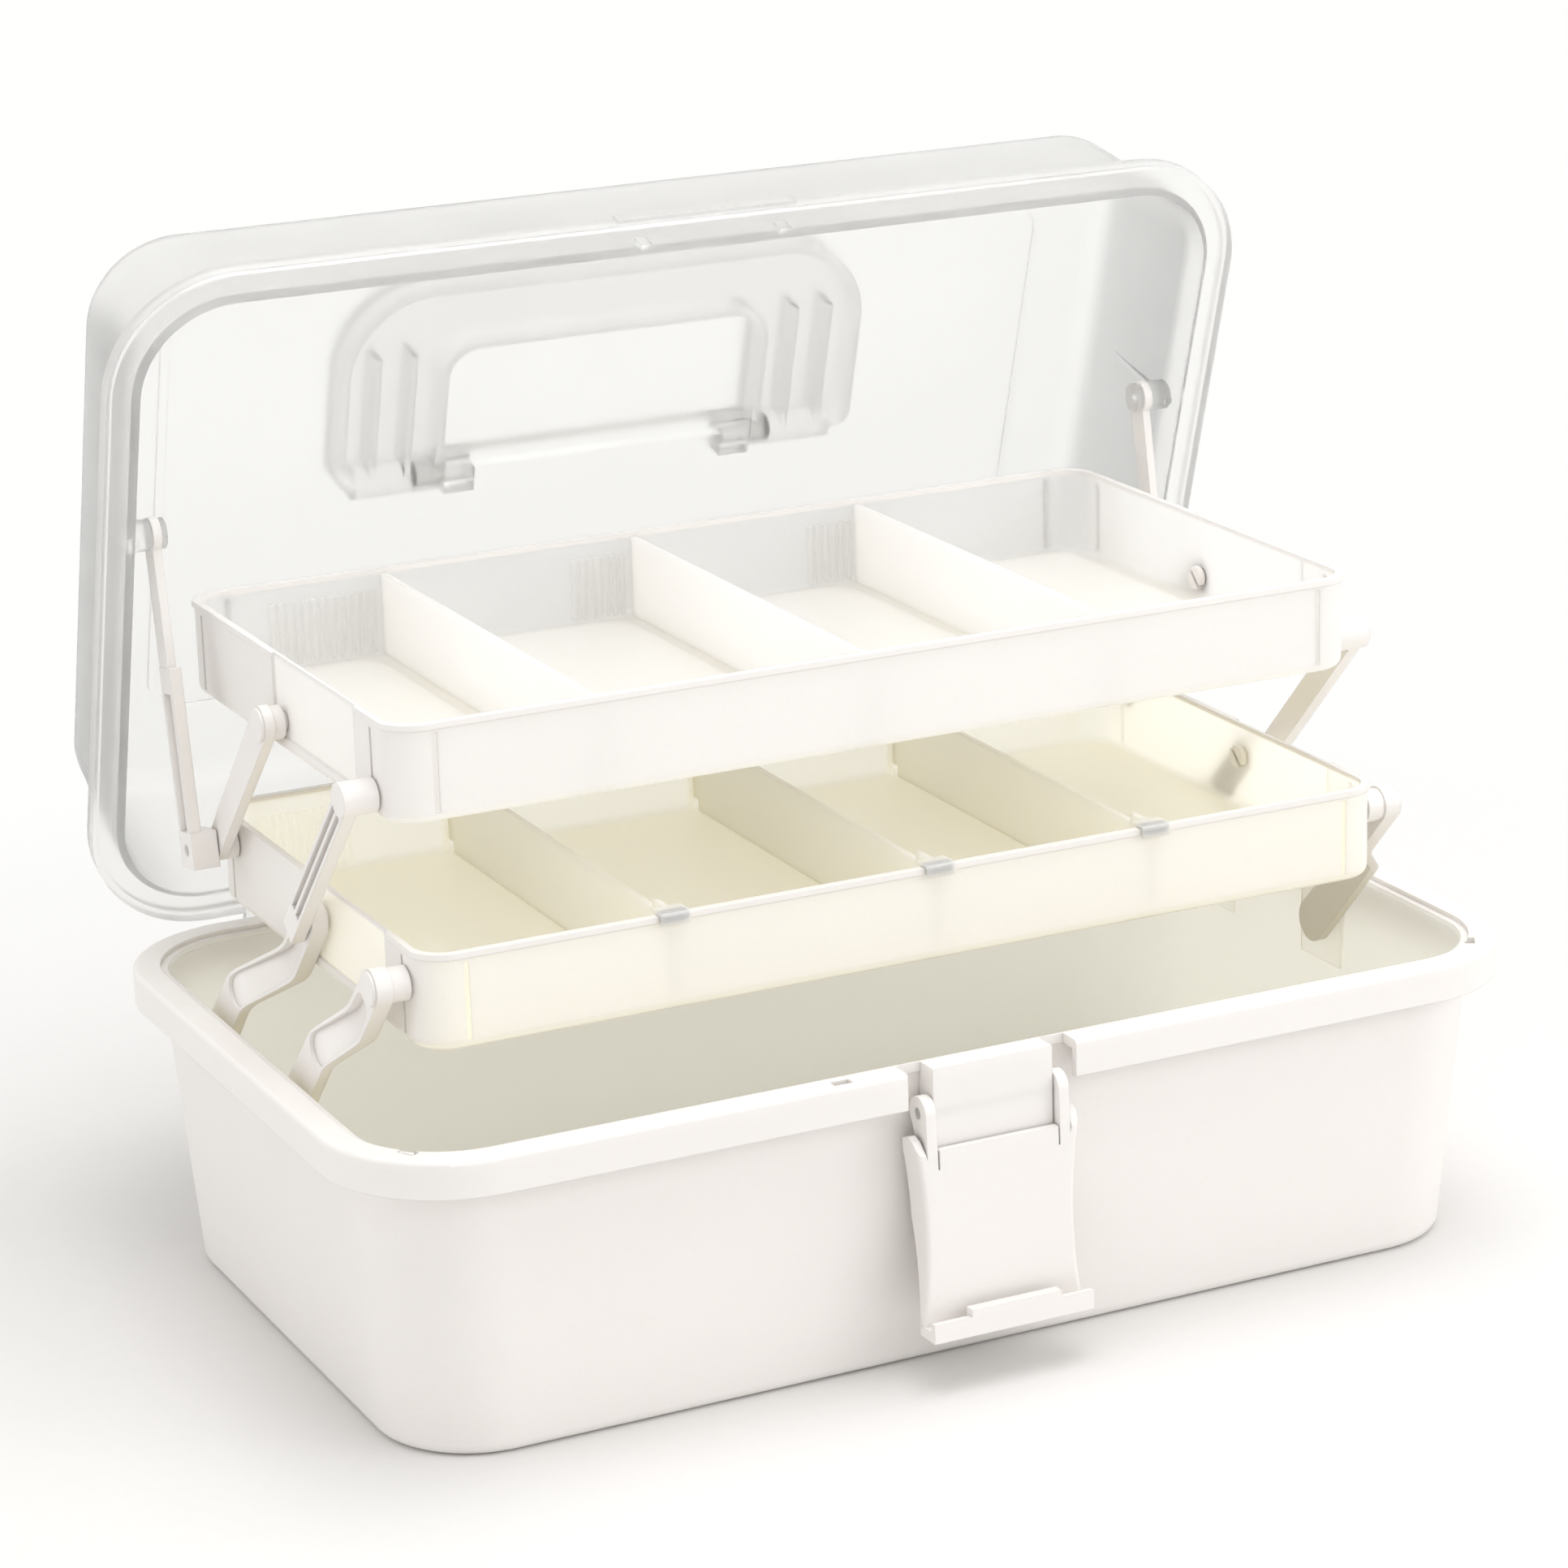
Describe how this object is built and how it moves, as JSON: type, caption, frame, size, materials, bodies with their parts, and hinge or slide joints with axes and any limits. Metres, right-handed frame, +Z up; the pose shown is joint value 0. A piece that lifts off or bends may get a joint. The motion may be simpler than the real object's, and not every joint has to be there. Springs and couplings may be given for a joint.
{
  "type": "craft organizer box",
  "caption": "Lidded carrying box whose two divided trays rise and fan out on folding arms as the clear lid opens.",
  "frame": {"origin": "middle of the bottom box's flat underside", "axes": "+X along the length to the right seen from the front, -Y towards the latch, +Z up"},
  "size_m": [0.33, 0.2626, 0.2727],
  "materials": {
    "white_plastic": "satin moulded plastic",
    "clear_plastic": "frosted clear moulded plastic",
    "pin_steel": "plain wire"
  },
  "bodies": {
    "base": {"base_box": "white_plastic", "latch_pin": "pin_steel", "lid_hinge_pin_left": "pin_steel", "lid_hinge_pin_right": "pin_steel"},
    "lid": {"lid_shell": "clear_plastic"},
    "handle": {"carry_handle": "clear_plastic", "handle_pin_left": "white_plastic", "handle_pin_right": "white_plastic"},
    "latch": {"latch_lever": "white_plastic"},
    "front_lower_arms": {"front_lower_arm_left": "white_plastic", "front_lower_arm_right": "white_plastic"},
    "rear_lower_arms": {"rear_lower_arm_left": "white_plastic", "rear_lower_arm_right": "white_plastic"},
    "lower_tray": {"lower_tray": "white_plastic"},
    "upper_front_links": {"upper_front_link_left": "white_plastic", "upper_front_link_right": "white_plastic"},
    "upper_rear_arms": {"upper_rear_arm_left": "white_plastic", "upper_rear_arm_right": "white_plastic"},
    "upper_tray": {"upper_tray": "white_plastic"},
    "lid_links": {"lid_link_left": "white_plastic", "lid_link_right": "white_plastic"},
    "left_divider": {"left_divider": "white_plastic"},
    "middle_divider": {"middle_divider": "white_plastic"},
    "right_divider": {"right_divider": "white_plastic"}
  },
  "joints": [
    {"name": "lid_hinge", "type": "hinge", "parent": "base", "child": "lid", "pos_m": [0, 0.1026, 0.0758], "axis": [1, 0, 0], "range_deg": [0, 72.6]},
    {"name": "rear_arm_pivot", "type": "hinge", "parent": "base", "child": "rear_lower_arms", "pos_m": [0, 0.0485, 0.0655], "axis": [1, 0, 0], "range_deg": [0, 64.09]},
    {"name": "front_arm_pivot", "type": "hinge", "parent": "base", "child": "front_lower_arms", "pos_m": [0, -0.008, 0.0655], "axis": [1, 0, 0], "range_deg": [0, 64.09]},
    {"name": "lower_tray_pivot", "type": "hinge", "parent": "rear_lower_arms", "child": "lower_tray", "pos_m": [0, 0.00206, 0.11309], "axis": [1, 0, 0], "range_deg": [-64.09, 0]},
    {"name": "upper_link_pivot", "type": "hinge", "parent": "lower_tray", "child": "upper_front_links", "pos_m": [0, 0.00206, 0.11309], "axis": [1, 0, 0], "range_deg": [0, 13.41]},
    {"name": "upper_arm_pivot", "type": "hinge", "parent": "lower_tray", "child": "upper_rear_arms", "pos_m": [0, 0.06601, 0.11549], "axis": [1, 0, 0], "range_deg": [0, 13.41]},
    {"name": "upper_tray_pivot", "type": "hinge", "parent": "upper_rear_arms", "child": "upper_tray", "pos_m": [0, 0.02413, 0.15916], "axis": [1, 0, 0], "range_deg": [-13.41, 0]},
    {"name": "lid_link_pivot", "type": "hinge", "parent": "lower_tray", "child": "lid_links", "pos_m": [0, 0.06601, 0.11549], "axis": [1, 0, 0], "range_deg": [0, 68.44]},
    {"name": "handle_pivot", "type": "hinge", "parent": "lid", "child": "handle", "pos_m": [0, 0.13507, 0.19088], "axis": [-1, 0, 0], "range_deg": [0, 90]},
    {"name": "latch_pivot", "type": "hinge", "parent": "base", "child": "latch", "pos_m": [0, -0.098, 0.071], "axis": [-1, 0, 0], "range_deg": [-1.5, 75]},
    {"name": "left_divider_lift", "type": "slide", "parent": "lower_tray", "child": "left_divider", "axis": [0, 0, -1], "range_m": [-0.026, 0]},
    {"name": "middle_divider_lift", "type": "slide", "parent": "lower_tray", "child": "middle_divider", "axis": [0, 0, -1], "range_m": [-0.026, 0]},
    {"name": "right_divider_lift", "type": "slide", "parent": "lower_tray", "child": "right_divider", "axis": [0, 0, -1], "range_m": [-0.026, 0]}
  ],
  "couplings": [
    {"joint": "rear_arm_pivot", "follows": "lid_hinge", "ratio": 0.88},
    {"joint": "front_arm_pivot", "follows": "lid_hinge", "ratio": 0.88},
    {"joint": "lower_tray_pivot", "follows": "lid_hinge", "ratio": -0.88},
    {"joint": "upper_link_pivot", "follows": "lid_hinge", "ratio": 0.182},
    {"joint": "upper_arm_pivot", "follows": "lid_hinge", "ratio": 0.182},
    {"joint": "upper_tray_pivot", "follows": "lid_hinge", "ratio": -0.182},
    {"joint": "lid_link_pivot", "follows": "lid_hinge", "ratio": 0.94}
  ]
}
